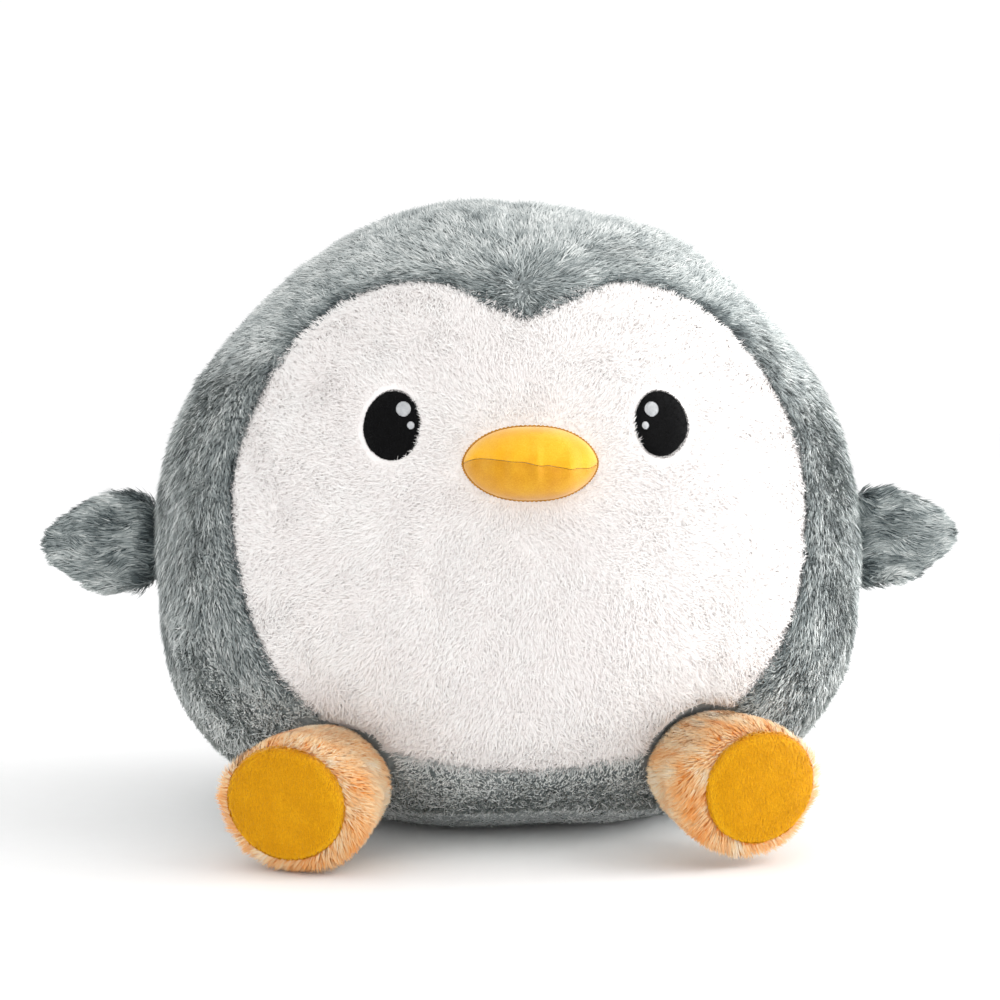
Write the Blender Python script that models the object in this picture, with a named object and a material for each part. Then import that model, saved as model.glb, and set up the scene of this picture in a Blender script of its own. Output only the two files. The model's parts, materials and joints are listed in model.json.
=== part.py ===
"""A round plush penguin, 0.38 m across the body, as its sewn panels and their stuffing.

The toy stands on z = 0 and faces -Y, and its own left side is +X. Every panel is as thick as its
backing and pile together, so its outer face is where the tips of the fur are. Pieces that touch
on the real toy keep a gap of SEAM_GAP here.
"""
import math

import bmesh
import bpy
from mathutils import Matrix, Vector

# Body: a rounded form, elliptical from above, whose widest level is at WIDEST_Z.
BODY_RADIUS = 0.190
BODY_DEPTH_RATIO = 0.93
WIDEST_Z = 0.135
RISE = 0.188
DROP = 0.145
UPPER_POWER = 2.15
LOWER_POWER = 2.65
SKIN = 0.007
SEAM_GAP = 0.0003
SIDE_SEAM_Y = 0.020
BASE_RADIUS = 0.118
AROUND = 40
LEVELS_UP = 10
LEVELS_DOWN = 7

# White panel, in front view: (x, z) of the notch, the top of a lobe, the widest point, the bottom.
NOTCH_Z = 0.2546
NOTCH_SLOPE_DEG = 23
LOBE = (0.050, 0.2725)
CHEEK = (0.1385, 0.168)
BELLY_Z = 0.0416
LOBE_FULLNESS = 0.50
BELLY_FULLNESS = 0.68

# Eyes and beak, set in pockets in the pile.
POCKET = 0.0045
POCKET_CLEARANCE = 0.0006
EYE_AT = (0.0623, 0.2044)
EYE_HALF = (0.0136, 0.0166)
EYE_LEAN_DEG = 9
EYE_TAPER = 0.06
EYE_FELT = 0.0015
HIGHLIGHT_THREAD = 0.0005
HIGHLIGHT_LARGE = {"across": 0.0048, "up": 0.0073, "radius": 0.0034}
HIGHLIGHT_SMALL = {"across": 0.0081, "up": -0.0002, "radius": 0.0017}
BEAK_Z = 0.187
BEAK_HALF = (0.0305, 0.0165)
BEAK_OUT = 0.022
BEAK_FABRIC = 0.0018
BEAK_CORNER = 0.995
BEAK_ROOT = 0.030
BEAK_AROUND = 24
BEAK_STATIONS = 12
BEAK_SECTION = 10

# Wings: flat pads whose root edge lies along a vertical side seam.
WING_Z = 0.141
WING_LENGTH = 0.0565
WING_HALF_CHORD = 0.0290
WING_HALF_THICK = 0.0105
WING_ROOT_HALF_THICK = 0.0045
WING_ROOT_GAP = 0.0012
WING_SKIN = 0.005
WING_POCKET_START = 0.008
WING_POCKET_HALF_THICK = 0.003
WING_FULL_AT = 0.4
WING_AROUND = 16
WING_STEPS = 8

# Feet: short barrels with a round sole in front and a ball-shaped root in a socket of the body.
FOOT_RADIUS = 0.0325
FOOT_WIDEN = 1.12
FOOT_REACH = 0.035
FOOT_SHOULDER = 0.013
FOOT_SKIN = 0.006
FOOT_CHAMFER = 0.003
FOOT_SPLAY_DEG = 26
FOOT_DROP_DEG = 4
SOLE_RADIUS = 0.0268
SOLE_THICK = 0.004
SOLE_CROWN = 0.002
SOLE_AT = {"left": (0.106, -0.175, 0.0385), "right": (-0.112, -0.175, 0.0335)}
SOCKET_GAP = 0.0008
FOOT_AROUND = 24

SIDES = {"left": 1, "right": -1}
FAR = 0.5  # longer than the toy, for tools that cut right through


def level_width(z):
    """The body's half width at height z, at the tips of the fur."""
    power, span = (UPPER_POWER, RISE) if z >= WIDEST_Z else (LOWER_POWER, DROP)
    share = min(abs(z - WIDEST_Z) / span, 1.0)
    return BODY_RADIUS * (1 - share ** power) ** (1 / power)


def surface_y(x, z):
    """The y of the front of the fur at (x, z), in the body's own frame."""
    width = level_width(z)
    return -BODY_DEPTH_RATIO * width * math.sqrt(max(0.0, 1 - (x / width) ** 2))


# The box around the toy is centred on the origin, so the body stands a little behind it.
BEAK_TIP_Y = surface_y(0, BEAK_Z) - BEAK_OUT
BACK_Y = BODY_RADIUS * BODY_DEPTH_RATIO * math.cos(math.pi / AROUND)
BODY_Y = -(BEAK_TIP_Y + BACK_Y) / 2


def clear_scene():
    for obj in list(bpy.data.objects):
        bpy.data.objects.remove(obj)


def make_material(name, colour, roughness):
    mat = bpy.data.materials.new(name)
    mat.use_nodes = True
    shader = mat.node_tree.nodes["Principled BSDF"]
    shader.inputs["Base Color"].default_value = (*colour, 1)
    shader.inputs["Roughness"].default_value = roughness
    shader.inputs["Metallic"].default_value = 0
    mat.diffuse_color = (*colour, 1)
    return mat


def make_materials():
    return {
        "grey": make_material("grey_fur", (0.34, 0.36, 0.36), 0.9),
        "white": make_material("white_fur", (0.88, 0.87, 0.86), 0.9),
        "peach": make_material("peach_fur", (0.90, 0.58, 0.32), 0.9),
        "gold": make_material("gold_velour", (0.74, 0.36, 0.02), 0.8),
        "yellow": make_material("yellow_velour", (0.90, 0.52, 0.05), 0.8),
        "black": make_material("black_velvet", (0.012, 0.012, 0.013), 0.85),
        "thread": make_material("pale_thread", (0.70, 0.72, 0.74), 0.6),
        "fill": make_material("fibrefill", (0.85, 0.85, 0.83), 0.95),
    }


def make_piece(name, bm, mat, parent):
    bmesh.ops.recalc_face_normals(bm, faces=bm.faces)
    mesh = bpy.data.meshes.new(name)
    bm.to_mesh(mesh)
    bm.free()
    mesh.shade_smooth()
    obj = bpy.data.objects.new(name, mesh)
    bpy.context.collection.objects.link(obj)
    obj.parent = parent
    if mat:
        mesh.materials.append(mat)
        mesh.set_sharp_from_angle(angle=math.radians(40))
    else:
        obj.hide_render = True
        obj.display_type = "WIRE"
    return obj


def cut(obj, operation, tool):
    modifier = obj.modifiers.new(f"{operation.lower()}_{tool.name}", "BOOLEAN")
    modifier.operation = operation
    modifier.solver = "EXACT"
    modifier.object = tool


def skin_rings(bm, rings, capped=True):
    """Faces between successive rings of vertices; a ring of one vertex is a pole."""
    for lower, upper in zip(rings, rings[1:]):
        count = max(len(lower), len(upper))
        for i in range(count):
            j = (i + 1) % count
            low_edge = [lower[i % len(lower)], lower[j % len(lower)]]
            high_edge = [upper[j % len(upper)], upper[i % len(upper)]]
            bm.faces.new(dict.fromkeys(low_edge + high_edge))
    if capped:
        for ring in (rings[0], rings[-1]):
            if len(ring) > 2:
                bm.faces.new(ring)


def body_form(name, inset, parent, mat=None):
    """The whole body form, inset below the fur tips and flat at the bottom."""
    lowest = math.asin(((WIDEST_Z - inset) / (DROP - inset)) ** (LOWER_POWER / 2))
    angles = [-lowest * (1 - i / LEVELS_DOWN) for i in range(LEVELS_DOWN)]
    angles += [math.pi / 2 * i / LEVELS_UP for i in range(LEVELS_UP)]
    bm = bmesh.new()
    rings = []
    for angle in angles:
        power, span = (UPPER_POWER, RISE) if angle >= 0 else (LOWER_POWER, DROP)
        z = WIDEST_Z + math.copysign((span - inset) * abs(math.sin(angle)) ** (2 / power), angle)
        width = (BODY_RADIUS - inset) * math.cos(angle) ** (2 / power)
        depth = width * (BODY_RADIUS * BODY_DEPTH_RATIO - inset) / (BODY_RADIUS - inset)
        turns = [2 * math.pi * (i + 0.5) / AROUND for i in range(AROUND)]
        rings.append([bm.verts.new((width * math.cos(t), depth * math.sin(t), z)) for t in turns])
    rings.append([bm.verts.new((0, 0, WIDEST_Z + RISE - inset))])
    skin_rings(bm, rings)
    return make_piece(name, bm, mat, parent)


def box(name, low, high, parent):
    bm = bmesh.new()
    size = Vector(high) - Vector(low)
    centre = (Vector(high) + Vector(low)) / 2
    bmesh.ops.create_cube(bm, size=1, matrix=Matrix.Translation(centre) @ Matrix.Diagonal((*size, 1)))
    return make_piece(name, bm, None, parent)


def prism(bm, outline, back, front):
    """A closed prism with this (x, z) outline, from y = back to y = front."""
    near = [bm.verts.new((x, front, z)) for x, z in outline]
    far = [bm.verts.new((x, back, z)) for x, z in outline]
    skin_rings(bm, [near, far])


def bezier(start, handle_a, handle_b, end, steps):
    """Points along a cubic curve, without its end."""
    points = []
    for i in range(steps):
        t = i / steps
        weights = ((1 - t) ** 3, 3 * t * (1 - t) ** 2, 3 * t * t * (1 - t), t ** 3)
        knots = (start, handle_a, handle_b, end)
        points.append(tuple(sum(w * k[axis] for w, k in zip(weights, knots)) for axis in (0, 1)))
    return points


def grown(outline, by):
    """The outline with every point moved outwards by this much."""
    moved = []
    for i, (x, z) in enumerate(outline):
        before, after = Vector(outline[i - 1]), Vector(outline[(i + 1) % len(outline)])
        along = (after - before).normalized()
        moved.append((x + along.y * by, z - along.x * by))
    return moved


def face_outline(grow):
    """The white panel in front view, anticlockwise, from the notch down the toy's right side."""
    lobe_x, lobe_z = LOBE
    cheek_x, cheek_z = CHEEK
    slope = math.tan(math.radians(NOTCH_SLOPE_DEG))
    lobe_w, lobe_h = cheek_x - lobe_x, lobe_z - cheek_z
    belly_h = cheek_z - BELLY_Z
    third = lobe_x / 3
    half = bezier((0, NOTCH_Z), (third, NOTCH_Z + third * slope), (lobe_x - third, lobe_z), LOBE, 6)
    half += bezier(
        LOBE,
        (lobe_x + lobe_w * LOBE_FULLNESS, lobe_z),
        (cheek_x, cheek_z + lobe_h * LOBE_FULLNESS),
        CHEEK,
        12,
    )
    half += bezier(
        CHEEK,
        (cheek_x, cheek_z - belly_h * BELLY_FULLNESS),
        (cheek_x * BELLY_FULLNESS, BELLY_Z),
        (0, BELLY_Z),
        16,
    )
    right_side = [(-x, z) for x, z in half]
    left_side = [(0, BELLY_Z)] + half[:0:-1]
    return grown(right_side + left_side, grow)


def oval(centre, half, lean_deg=0.0, taper=0.0, count=28):
    """A leaning egg outline, anticlockwise; taper narrows its top."""
    lean = math.radians(lean_deg)
    points = []
    for i in range(count):
        turn = 2 * math.pi * i / count
        up = math.sin(turn) * half[1]
        across = math.cos(turn) * half[0] * (1 - taper * up / half[1])
        x = across * math.cos(lean) - up * math.sin(lean)
        z = across * math.sin(lean) + up * math.cos(lean)
        points.append((centre[0] + x, centre[1] + z))
    return points


def eye_outline(side, grow):
    """An egg whose narrow top leans towards the face's centre line."""
    sign = SIDES[side]
    centre = (sign * EYE_AT[0], EYE_AT[1])
    half = (EYE_HALF[0] + grow, EYE_HALF[1] + grow)
    return oval(centre, half, sign * EYE_LEAN_DEG, EYE_TAPER)


def make_tools(root):
    """The hidden bodies that the panels are cut with."""
    half_gap = SEAM_GAP / 2
    tools = {
        "lining": body_form("tool_lining", SKIN, root),
        "pocket_floor": body_form("tool_pocket_floor", POCKET, root),
    }
    for name, grow in (("face_hole", half_gap), ("face_only", -half_gap)):
        bm = bmesh.new()
        prism(bm, face_outline(grow), 0, -FAR)
        tools[name] = make_piece(f"tool_{name}", bm, None, root)

    bm = bmesh.new()
    for side in SIDES:
        prism(bm, eye_outline(side, POCKET_CLEARANCE), 0, -FAR)
    prism(bm, beak_outline(POCKET_CLEARANCE), 0, -FAR)
    tools["pockets"] = make_piece("tool_pockets", bm, None, root)
    cut(tools["pockets"], "DIFFERENCE", tools["pocket_floor"])

    bm = bmesh.new()
    for side in SIDES:
        socket = foot_matrix(side) @ Matrix.Diagonal((FOOT_WIDEN, 1, 1, 1))
        bmesh.ops.create_icosphere(bm, subdivisions=3, radius=FOOT_RADIUS + SOCKET_GAP, matrix=socket)
    tools["sockets"] = make_piece("tool_sockets", bm, None, root)

    for name, grow in (("base_hole", half_gap), ("base_only", -half_gap)):
        bm = bmesh.new()
        turns = [2 * math.pi * (i + 0.5) / AROUND for i in range(AROUND)]
        radius = BASE_RADIUS + grow
        rim = [(radius * math.cos(t), radius * BODY_DEPTH_RATIO * math.sin(t)) for t in turns]
        skin_rings(bm, [[bm.verts.new((*point, z)) for point in rim] for z in (-FAR, WIDEST_Z / 2)])
        tools[name] = make_piece(f"tool_{name}", bm, None, root)

    halves = {"front": (-FAR, SIDE_SEAM_Y - half_gap), "back": (SIDE_SEAM_Y + half_gap, FAR)}
    for side, sign in SIDES.items():
        x_from, x_to = sorted((sign * half_gap, sign * FAR))
        for part, (y_from, y_to) in halves.items():
            low, high = (x_from, y_from, -FAR), (x_to, y_to, FAR)
            tools[f"{part}_{side}"] = box(f"tool_{part}_{side}", low, high, root)
    return tools


def make_body(root, mats, tools):
    """The six fur panels and the stuffing that they enclose."""
    face = body_form("face_panel", 0, root, mats["white"])
    cut(face, "INTERSECT", tools["face_only"])
    cut(face, "DIFFERENCE", tools["lining"])
    cut(face, "DIFFERENCE", tools["pockets"])
    cut(face, "DIFFERENCE", tools["sockets"])
    for side in SIDES:
        for part in ("front", "back"):
            gore = body_form(f"{part}_gore_{side}", 0, root, mats["grey"])
            cut(gore, "INTERSECT", tools[f"{part}_{side}"])
            cut(gore, "DIFFERENCE", tools["lining"])
            cut(gore, "DIFFERENCE", tools["base_hole"])
            if part == "front":
                cut(gore, "DIFFERENCE", tools["face_hole"])
                cut(gore, "DIFFERENCE", tools["sockets"])
    base = body_form("base_panel", 0, root, mats["grey"])
    cut(base, "INTERSECT", tools["base_only"])
    cut(base, "DIFFERENCE", tools["lining"])
    stuffing = body_form("body_stuffing", SKIN + SEAM_GAP, root, mats["fill"])
    cut(stuffing, "DIFFERENCE", tools["sockets"])


def make_eyes(root, mats):
    """Velvet patches on the pocket floors, each with two embroidered dots."""
    felt_back = body_form("tool_felt_back", POCKET - SEAM_GAP, root)
    thread_inset = POCKET - 2 * SEAM_GAP - EYE_FELT
    thread_back = body_form("tool_thread_back", thread_inset, root)
    for side, sign in SIDES.items():
        bm = bmesh.new()
        prism(bm, eye_outline(side, 0), 0, -FAR)
        patch = make_piece(f"eye_{side}", bm, mats["black"], root)
        cut(patch, "INTERSECT", body_form(f"tool_felt_front_{side}", POCKET - SEAM_GAP - EYE_FELT, root))
        cut(patch, "DIFFERENCE", felt_back)
        for size, dot in (("large", HIGHLIGHT_LARGE), ("small", HIGHLIGHT_SMALL)):
            centre = (sign * (EYE_AT[0] - dot["across"]), EYE_AT[1] + dot["up"])
            bm = bmesh.new()
            prism(bm, oval(centre, (dot["radius"], dot["radius"]), count=16), 0, -FAR)
            thread = make_piece(f"eye_highlight_{size}_{side}", bm, mats["thread"], root)
            front = body_form(f"tool_thread_front_{size}_{side}", thread_inset - HIGHLIGHT_THREAD, root)
            cut(thread, "INTERSECT", front)
            cut(thread, "DIFFERENCE", thread_back)


def beak_half_height(share, half_height):
    """The beak's half height at this share of its half width."""
    return half_height * max(0.0, 1 - abs(share) ** 2.2) ** 0.7


def beak_outline(grow):
    """The almond that the beak fills in front view, anticlockwise."""
    half_width, half_height = BEAK_HALF[0] + grow, BEAK_HALF[1] + grow
    points = []
    for i in range(BEAK_AROUND):
        turn = 2 * math.pi * i / BEAK_AROUND
        height = beak_half_height(math.cos(turn), half_height)
        points.append((half_width * math.cos(turn), BEAK_Z + math.copysign(height, math.sin(turn))))
    return points


def beak_form(name, thinner, root, mat=None):
    """The beak's puffed form, made this much thinner all round, and running back into the face."""
    half_width, half_height = BEAK_HALF[0] - thinner, BEAK_HALF[1] - thinner
    out = BEAK_OUT - thinner
    back_y = surface_y(0, BEAK_Z) + BEAK_ROOT
    bm = bmesh.new()
    rings = []
    for i in range(BEAK_STATIONS + 1):
        share = -math.cos(math.pi * i / BEAK_STATIONS)
        x = half_width * share
        if i in (0, BEAK_STATIONS):
            share = math.copysign(BEAK_CORNER, share)
        height = beak_half_height(share, half_height)
        reach = out * max(0.0, 1 - abs(share) ** 2.4) ** 0.6
        face_y = surface_y(x, BEAK_Z)
        ring = [bm.verts.new((x, back_y, BEAK_Z - height))]
        for j in range(BEAK_SECTION + 1):
            turn = math.pi * (j / BEAK_SECTION - 0.5)
            ring.append(bm.verts.new((x, face_y - reach * math.cos(turn), BEAK_Z + height * math.sin(turn))))
        ring.append(bm.verts.new((x, back_y, BEAK_Z + height)))
        rings.append(ring)
    skin_rings(bm, rings)
    return make_piece(name, bm, mat, root)


def make_beak(root, mats):
    """Two fabric halves that meet along the mouth line, and the filling between them."""
    seat = body_form("tool_beak_seat", POCKET - SEAM_GAP, root)
    hollow = beak_form("tool_beak_hollow", BEAK_FABRIC, root)
    half_gap = SEAM_GAP / 2
    halves = {
        "beak_upper": ((-FAR, -FAR, BEAK_Z + half_gap), (FAR, FAR, FAR)),
        "beak_lower": ((-FAR, -FAR, -FAR), (FAR, FAR, BEAK_Z - half_gap)),
    }
    for name, (low, high) in halves.items():
        half = beak_form(name, 0, root, mats["yellow"])
        cut(half, "INTERSECT", box(f"tool_{name}", low, high, root))
        cut(half, "DIFFERENCE", hollow)
        cut(half, "DIFFERENCE", seat)
    filling = beak_form("beak_stuffing", BEAK_FABRIC + SEAM_GAP, root, mats["fill"])
    cut(filling, "DIFFERENCE", seat)


def wing_form(name, sign, parent, start, length, half_chord, half_thick, root_thick, mat=None):
    """A flipper pad along local X, thin at the root, full in the middle, rounded at the tip."""
    bm = bmesh.new()
    rings = []
    for degrees in (20, 55):
        angle = math.radians(degrees)
        rings.append((start - root_thick * math.cos(angle), half_chord, root_thick * math.sin(angle)))
    for i in range(WING_STEPS):
        share = math.sin(math.pi / 2 * i / WING_STEPS)
        chord = half_chord * (1 - share ** 1.5) ** 0.5
        swell = math.sin(math.pi / 2 * min(1.0, share / WING_FULL_AT))
        thick = (root_thick + (half_thick - root_thick) * swell) * (1 - share ** 3) ** 0.6
        rings.append((start + length * share, chord, thick))
    loops = []
    for x, chord, thick in rings:
        turns = [2 * math.pi * i / WING_AROUND for i in range(WING_AROUND)]
        loops.append([bm.verts.new((sign * x, thick * math.sin(t), chord * math.cos(t))) for t in turns])
    loops.append([bm.verts.new((sign * (start + length), 0, 0))])
    skin_rings(bm, loops)
    return make_piece(name, bm, mat, parent)


def make_wing(side, root, mats):
    """Front and back panels and stuffing, on an empty at the sewn root edge."""
    sign = SIDES[side]
    body_width = level_width(WING_Z)
    body_x = body_width * math.sqrt(1 - (SIDE_SEAM_Y / (BODY_DEPTH_RATIO * body_width)) ** 2)
    hinge = bpy.data.objects.new(f"wing_hinge_{side}", None)
    bpy.context.collection.objects.link(hinge)
    hinge.parent = root
    hinge.location = (sign * (body_x + WING_ROOT_HALF_THICK + WING_ROOT_GAP), SIDE_SEAM_Y, WING_Z)
    outer = (0, WING_LENGTH, WING_HALF_CHORD, WING_HALF_THICK, WING_ROOT_HALF_THICK)
    inner = (
        WING_POCKET_START,
        WING_LENGTH - WING_POCKET_START - WING_SKIN,
        WING_HALF_CHORD - WING_SKIN,
        WING_HALF_THICK - WING_SKIN,
        WING_POCKET_HALF_THICK,
    )
    hollow = wing_form(f"tool_wing_hollow_{side}", sign, hinge, *inner)
    for part, y_from, y_to in (("front", -FAR, -SEAM_GAP / 2), ("back", SEAM_GAP / 2, FAR)):
        panel = wing_form(f"wing_{part}_{side}", sign, hinge, *outer, mat=mats["grey"])
        half = box(f"tool_wing_{part}_{side}", (-FAR, y_from, -FAR), (FAR, y_to, FAR), hinge)
        cut(panel, "INTERSECT", half)
        cut(panel, "DIFFERENCE", hollow)
    play = 2 * SEAM_GAP
    fill = [inner[0] + play, inner[1] - 2 * play] + [size - play for size in inner[2:]]
    wing_form(f"wing_stuffing_{side}", sign, hinge, *fill, mat=mats["fill"])


def foot_matrix(side):
    """The foot's frame in the body's: local Z runs forward through the sole, local X is level."""
    sign = SIDES[side]
    splay, drop = math.radians(FOOT_SPLAY_DEG), math.radians(FOOT_DROP_DEG)
    flat = math.cos(drop)
    forward = Vector((sign * math.sin(splay) * flat, -math.cos(splay) * flat, -math.sin(drop)))
    level = forward.cross(Vector((0, 0, 1))).normalized()
    axes = Matrix((level, forward.cross(level), forward)).transposed().to_4x4()
    return Matrix.Translation(Vector(SOLE_AT[side]) - FOOT_REACH * forward) @ axes


def turned(name, profile, parent, mat):
    """A foot's piece, wider than high, from (radius, height) points that start and end on the axis."""
    bm = bmesh.new()
    rings = []
    for radius, height in profile:
        turns = [2 * math.pi * i / FOOT_AROUND for i in range(FOOT_AROUND)]
        if radius == 0:
            rings.append([bm.verts.new((0, 0, height))])
        else:
            ring = [(FOOT_WIDEN * radius * math.cos(t), radius * math.sin(t), height) for t in turns]
            rings.append([bm.verts.new(point) for point in ring])
    skin_rings(bm, rings, capped=False)
    return make_piece(name, bm, mat, parent)


def arc(centre_height, radius, start_deg, end_deg, steps):
    """Points on a turn about the axis point at centre_height, as (radius, height)."""
    points = []
    for i in range(steps + 1):
        angle = math.radians(start_deg + (end_deg - start_deg) * i / steps)
        points.append((radius * math.cos(angle), centre_height + radius * math.sin(angle)))
    return points


def make_foot(side, root, mats):
    """Fur tube, sole and stuffing on an empty at the middle of the foot's ball-shaped root."""
    hinge = bpy.data.objects.new(f"foot_hinge_{side}", None)
    bpy.context.collection.objects.link(hinge)
    hinge.parent = root
    hinge.matrix_local = foot_matrix(side)

    hole = SOLE_RADIUS + SEAM_GAP / 2
    lining = FOOT_RADIUS - FOOT_SKIN
    dome = arc(0, FOOT_RADIUS, -90, 0, 6)
    rounding = arc(0, 1, 0, 90, 3)
    shoulder_start = FOOT_REACH - FOOT_SHOULDER
    shoulder = [(hole + (FOOT_RADIUS - hole) * r, shoulder_start + FOOT_SHOULDER * h) for r, h in rounding]
    inner_front = FOOT_REACH - SOLE_THICK - SEAM_GAP
    bore = [(hole, inner_front), (lining, inner_front - FOOT_CHAMFER)]
    inner_dome = arc(0, lining, 0, -90, 4)
    profile = [(0, -FOOT_RADIUS)] + dome[1:] + shoulder + bore + inner_dome[:-1] + [(0, -lining)]
    turned(f"foot_tube_{side}", profile, hinge, mats["peach"])

    edge = SOLE_RADIUS - SEAM_GAP / 2
    crown = [(edge * r, FOOT_REACH + SOLE_CROWN * (1 - r * r)) for r in (0.5, 0.8, 1)]
    back = FOOT_REACH - SOLE_THICK
    profile = [(0, back), (edge, back)] + crown[::-1] + [(0, FOOT_REACH + SOLE_CROWN)]
    turned(f"foot_sole_{side}", profile, hinge, mats["gold"])

    fill = lining - SEAM_GAP
    front = inner_front - SEAM_GAP
    fill_front = [(fill, front - FOOT_CHAMFER - SEAM_GAP), (fill - FOOT_CHAMFER, front), (0, front)]
    profile = [(0, -fill)] + arc(0, fill, -90, 0, 4)[1:] + fill_front
    turned(f"foot_stuffing_{side}", profile, hinge, mats["fill"])


def main():
    clear_scene()
    root = bpy.data.objects.new("penguin", None)
    bpy.context.collection.objects.link(root)
    root.location = (0, BODY_Y, 0)
    mats = make_materials()
    tools = make_tools(root)
    make_body(root, mats, tools)
    make_eyes(root, mats)
    make_beak(root, mats)
    for side in SIDES:
        make_wing(side, root, mats)
        make_foot(side, root, mats)


main()
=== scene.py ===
"""The looks of the round plush penguin: sewn and stuffed skins, fur, velour, velvet and a plain studio.

Every fur is real geometry: tapered ribbons, rooted in a backing that a cloth simulation has filled.
The toy faces -Y, and its own left side is +X.
"""
import json
import math

import bpy
import numpy as np
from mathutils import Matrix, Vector
from mathutils.kdtree import KDTree


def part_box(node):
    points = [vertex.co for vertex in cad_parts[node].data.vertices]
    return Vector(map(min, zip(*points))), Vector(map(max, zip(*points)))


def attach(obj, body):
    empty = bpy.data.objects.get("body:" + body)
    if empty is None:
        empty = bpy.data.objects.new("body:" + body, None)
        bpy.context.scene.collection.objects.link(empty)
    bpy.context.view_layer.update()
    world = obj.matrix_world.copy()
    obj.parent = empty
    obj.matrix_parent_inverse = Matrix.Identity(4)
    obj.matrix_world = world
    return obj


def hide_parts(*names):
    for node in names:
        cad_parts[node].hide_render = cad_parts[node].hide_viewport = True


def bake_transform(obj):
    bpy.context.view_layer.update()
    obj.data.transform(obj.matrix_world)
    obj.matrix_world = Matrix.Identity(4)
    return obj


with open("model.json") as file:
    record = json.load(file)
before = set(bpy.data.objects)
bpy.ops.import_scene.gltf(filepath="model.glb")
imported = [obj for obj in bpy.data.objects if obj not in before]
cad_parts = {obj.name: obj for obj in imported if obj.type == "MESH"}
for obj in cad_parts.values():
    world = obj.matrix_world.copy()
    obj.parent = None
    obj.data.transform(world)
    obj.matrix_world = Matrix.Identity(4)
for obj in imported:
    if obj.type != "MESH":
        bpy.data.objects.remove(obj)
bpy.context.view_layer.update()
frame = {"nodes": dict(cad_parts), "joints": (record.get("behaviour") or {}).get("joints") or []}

SIDES = {"left": 1, "right": -1}
UP = np.array((0.0, 0.0, 1.0))

# Camera, in the frame's metres and degrees.
VIEW_AZIMUTH = -3.5
VIEW_ELEVATION = 3.0
VIEW_DISTANCE = 1.1
VIEW_TARGET = Vector((0, 0.0086, 0.150))
LENS = 73.63
SHIFT = (-0.00785, 0.02523)

# Stuffed skins.
VOXEL = 0.005
LIMB_VOXEL = 0.003
SEAM_HOLD = 0.004
SEAM_DEPTH = 0.0015
SEAM_WIDTH = 0.005
BODY_PLUMP = 0.0026
SHOULDER_TRIM = 0.0050
FABRIC = 0.0008
WING_SPREAD = (1.38, 0.96)

# Fur: strands per square metre of backing, the length of each pile, and how far its roots go in.
BODY_DENSITY = 1.0e6
WHITE_DENSITY = 1.3e6
LIMB_DENSITY = 1.9e6
SOLE_DENSITY = 4.5e6
EYE_DENSITY = 9e6
GREY_PILE = 0.0080
WHITE_PILE = 0.0060
WING_PILE = 0.0095
FOOT_PILE = 0.0085
SOLE_NAP = 0.0020
ROOT_DEPTH = 0.0006
SOFTNESS = 0.88
HALF_HEIGHT = 0.165
WHORL = np.array((0, -0.105, 0.268))

# Where limbs meet the body: two distances from the middle plane at a wing's root.
WING_ROOT = 0.186
WING_BENT = 0.203
FOOT_OVAL = 1.12
FOOT_BARE = 0.034

# Beak outline: half height against half width.
BEAK_POWER = 2.4
BEAK_FULLNESS = 0.6
BEAK_ENDS = 0.998


def srgb(code):
    """Linear colour from a six-digit hex code."""
    parts = [int(code[i:i + 2], 16) / 255 for i in (0, 2, 4)]
    return [p / 12.92 if p <= 0.04045 else ((p + 0.055) / 1.055) ** 2.4 for p in parts]


# ---------------------------------------------------------------- numbers over space

def unit(vectors):
    return vectors / np.maximum(np.linalg.norm(vectors, axis=-1, keepdims=True), 1e-12)


def across(vectors, normals):
    """The part of each vector that lies in the surface with that normal."""
    return vectors - normals * (vectors * normals).sum(1, keepdims=True)


def patches(seed, size, count=28):
    """A smooth random function of place, about -1 to 1, with patches about this size in metres."""
    rng = np.random.default_rng(seed)
    spread = rng.uniform(0.6, 1.5, (count, 1))
    frequency = unit(rng.normal(size=(count, 3))) * spread * math.pi / size
    phase = rng.uniform(0, 2 * math.pi, count)
    return lambda points: np.sin(points @ frequency.T + phase).sum(1) * math.sqrt(2 / count) * 0.6


def swirl(seed, size):
    """A smooth random direction at each place."""
    parts = [patches(seed + i, size) for i in range(3)]
    return lambda points: np.stack([part(points) for part in parts], axis=1)


def smooth(values, low, high):
    share = np.clip((values - low) / (high - low), 0, 1)
    return share * share * (3 - 2 * share)


# ---------------------------------------------------------------- meshes

def get_points(mesh):
    points = np.empty(len(mesh.vertices) * 3, np.float32)
    mesh.vertices.foreach_get("co", points)
    return points.reshape(-1, 3).astype(float)


def node_points(node):
    """A CAD node's vertices."""
    return get_points(frame["nodes"][node].data)


def new_object(name, points, faces, materials):
    mesh = bpy.data.meshes.new(name)
    mesh.from_pydata([tuple(p) for p in points], [], faces)
    for mat in materials:
        mesh.materials.append(mat)
    mesh.shade_smooth()
    obj = bpy.data.objects.new(name, mesh)
    bpy.context.scene.collection.objects.link(obj)
    return obj


def triangles(obj):
    """The object's points, its triangles and its vertex normals."""
    mesh = obj.data
    mesh.calc_loop_triangles()
    corners = np.empty(len(mesh.loop_triangles) * 3, np.int32)
    mesh.loop_triangles.foreach_get("vertices", corners)
    normals = np.empty(len(mesh.vertices) * 3, np.float32)
    mesh.vertex_normals.foreach_get("vector", normals)
    return get_points(mesh), corners.reshape(-1, 3), normals.reshape(-1, 3).astype(float)


def set_points(obj, points):
    obj.data.vertices.foreach_set("co", points.astype(np.float32).ravel())
    obj.data.update()


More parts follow.
